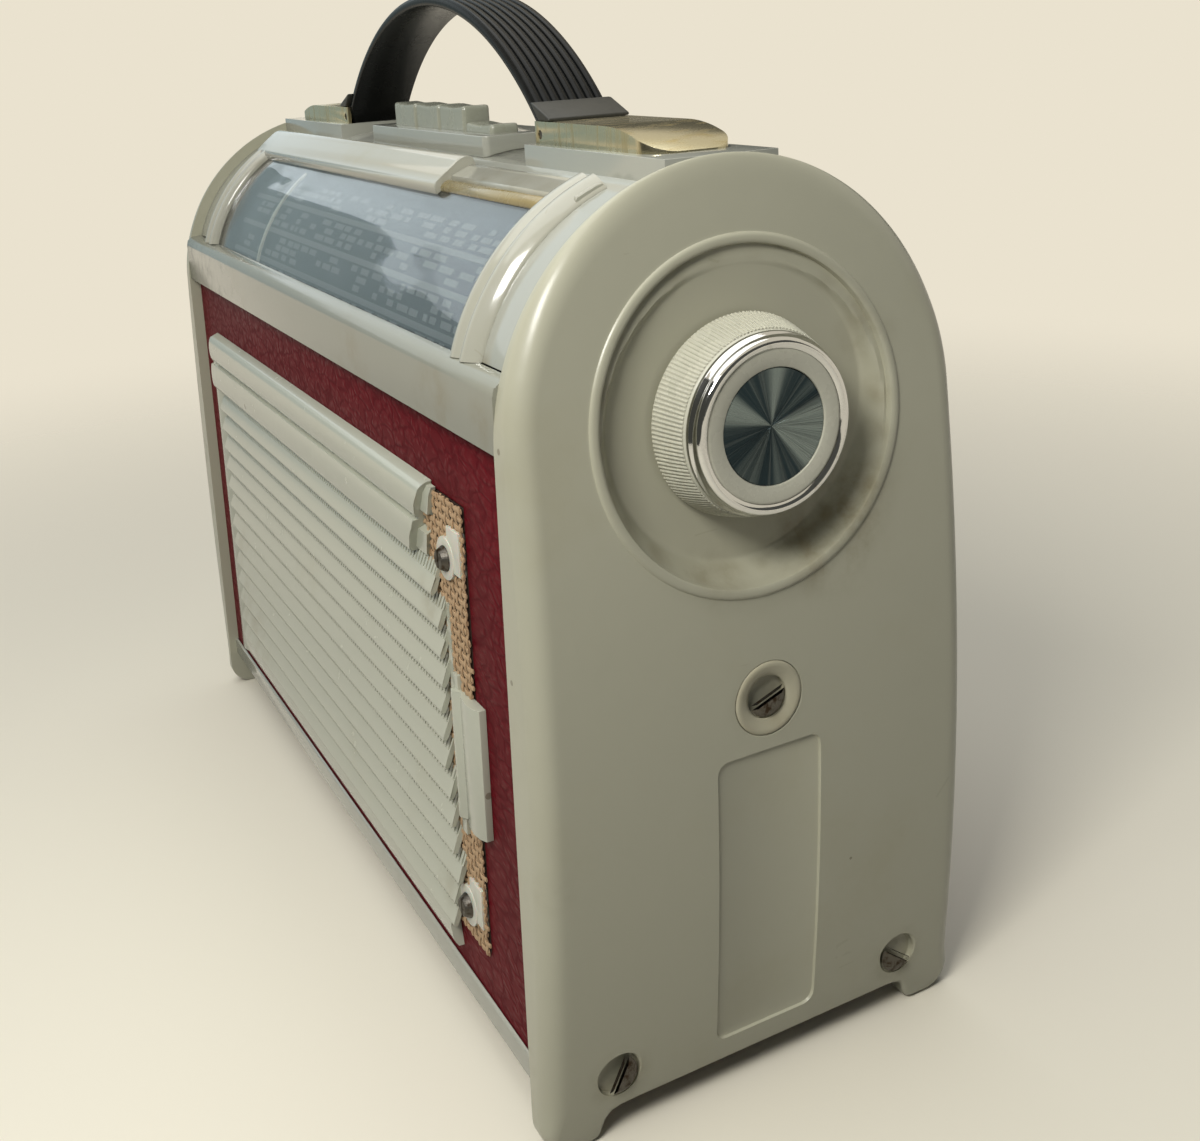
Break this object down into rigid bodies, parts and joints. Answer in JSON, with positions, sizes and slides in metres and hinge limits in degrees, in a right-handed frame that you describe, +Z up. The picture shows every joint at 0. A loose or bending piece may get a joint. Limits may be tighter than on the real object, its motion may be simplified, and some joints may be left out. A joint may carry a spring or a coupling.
{
  "type": "transistor radio",
  "caption": "Portable transistor radio with a leatherette case between moulded end caps, an arched dial, a louvred grille, push keys, end knobs and a strap handle.",
  "frame": {"origin": "under the middle of the case, on the plane that the four feet stand on", "axes": "+X points to the end with the tuning knob, -Y to the front with the grille and dial, +Z up"},
  "size_m": [0.266, 0.0998, 0.2192],
  "materials": {
    "cap_plastic": "aged cream-grey moulded plastic, glossy, with dirt in the knob well",
    "cover_plastic": "polished cream-grey moulded plastic",
    "grille_plastic": "polished ivory plastic, broken along its right edge",
    "standoff_plastic": "milky white plastic",
    "collar_plastic": "yellowed cream plastic",
    "knob_plastic": "cream-grey plastic with a fluted rim",
    "leatherette": "dark burgundy grained covering",
    "cloth": "brown woven cane-like cloth",
    "strap": "black ribbed strap",
    "collar_dark": "dark grey plastic",
    "hood_metal": "plated sheet, worn gilt at the front",
    "ring_metal": "bright plating",
    "disc_metal": "spun metal, turned lines",
    "screw_metal": "dull dark steel, rusted slots",
    "lens": "clear curved sheet",
    "scale": "printed grey-blue plate",
    "pointer": "pale plastic",
    "bare_steel": "plated sheet steel",
    "wood": "plain board",
    "cone_paper": "black pulp paper",
    "magnet": "grey painted magnet pot",
    "board": "brown laminate",
    "cans": "drawn cans",
    "core": "dark stacked laminations and pressed ferrite",
    "copper": "wound enamelled wire",
    "spring_brass": "spring strip",
    "battery": "plain coloured sleeve",
    "tray": "dark moulded tray",
    "bakelite": "brown moulding"
  },
  "bodies": {
    "case": {"end_cap_right": "cap_plastic", "end_cap_left": "cap_plastic", "cap_screws": "screw_metal", "screw_collars": "collar_plastic", "front_panel": "leatherette", "back_panel": "leatherette", "bottom_panel": "leatherette", "front_trim": "cover_plastic", "rear_trim": "cover_plastic", "top_cover": "cover_plastic", "dial_sill": "cover_plastic", "dial_frame": "cover_plastic", "dial_lens": "lens", "dial_scale": "scale", "pointer_rail": "bare_steel", "key_plinth": "cover_plastic", "key_switch": "bakelite", "handle_strap": "strap", "handle_hood_right": "hood_metal", "handle_hood_left": "hood_metal", "handle_collar_right": "collar_dark", "handle_collar_left": "collar_dark", "strap_pins": "screw_metal", "speaker_grille": "grille_plastic", "grille_border_piece": "grille_plastic", "grille_standoffs": "standoff_plastic", "grille_screws": "screw_metal", "speaker_cloth": "cloth", "speaker_baffle": "wood", "speaker_frame": "bare_steel", "speaker_cone": "cone_paper", "speaker_magnet": "magnet", "volume_control": "bakelite", "chassis": "bare_steel", "circuit_board": "board", "if_cans": "cans", "transformers": "core", "ferrite_rod": "core", "ferrite_coils": "copper", "rod_holders": "pointer", "capacitor_frame": "bare_steel", "battery_tray": "tray", "batteries": "battery", "battery_contacts": "spring_brass"},
    "tuning_knob": {"tuning_knob": "knob_plastic", "tuning_knob_ring": "ring_metal", "tuning_knob_disc": "disc_metal", "tuning_shaft": "bare_steel"},
    "drive_drum": {"drive_drum": "pointer", "capacitor_rotor": "bare_steel"},
    "dial_pointer": {"dial_pointer": "pointer"},
    "volume_knob": {"volume_knob": "knob_plastic", "volume_knob_ring": "ring_metal", "volume_knob_disc": "disc_metal", "volume_shaft": "bare_steel"},
    "key_1": {"key_1": "cover_plastic"},
    "key_2": {"key_2": "cover_plastic"},
    "key_3": {"key_3": "cover_plastic"},
    "key_4": {"key_4": "cover_plastic"}
  },
  "joints": [
    {"name": "tuning_turn", "type": "hinge", "parent": "case", "child": "tuning_knob", "pos_m": [0.1, 0, 0.1395], "axis": [-1, 0, 0], "range_deg": [-53.75, 1314.25]},
    {"name": "drum_turn", "type": "hinge", "parent": "case", "child": "drive_drum", "pos_m": [0.088, 0.001, 0.09], "axis": [-1, 0, 0], "range_deg": [-7.17, 173.03]},
    {"name": "pointer_slide", "type": "slide", "parent": "case", "child": "dial_pointer", "axis": [1, 0, 0], "range_m": [-0.00479, 0.11479]},
    {"name": "volume_turn", "type": "hinge", "parent": "case", "child": "volume_knob", "pos_m": [-0.1, 0, 0.1395], "axis": [1, 0, 0], "range_deg": [0, 290]},
    {"name": "key_1_press", "type": "slide", "parent": "case", "child": "key_1", "axis": [0, 0, -1], "range_m": [0, 0.0038]},
    {"name": "key_2_press", "type": "slide", "parent": "case", "child": "key_2", "axis": [0, 0, -1], "range_m": [0, 0.0038]},
    {"name": "key_3_press", "type": "slide", "parent": "case", "child": "key_3", "axis": [0, 0, -1], "range_m": [0, 0.0038]},
    {"name": "key_4_release", "type": "slide", "parent": "case", "child": "key_4", "axis": [0, 0, 1], "range_m": [0, 0.0038]}
  ],
  "couplings": [
    {"joint": "drum_turn", "follows": "tuning_turn", "ratio": 0.13158},
    {"joint": "pointer_slide", "follows": "tuning_turn", "m_per_rad": 0.005}
  ]
}
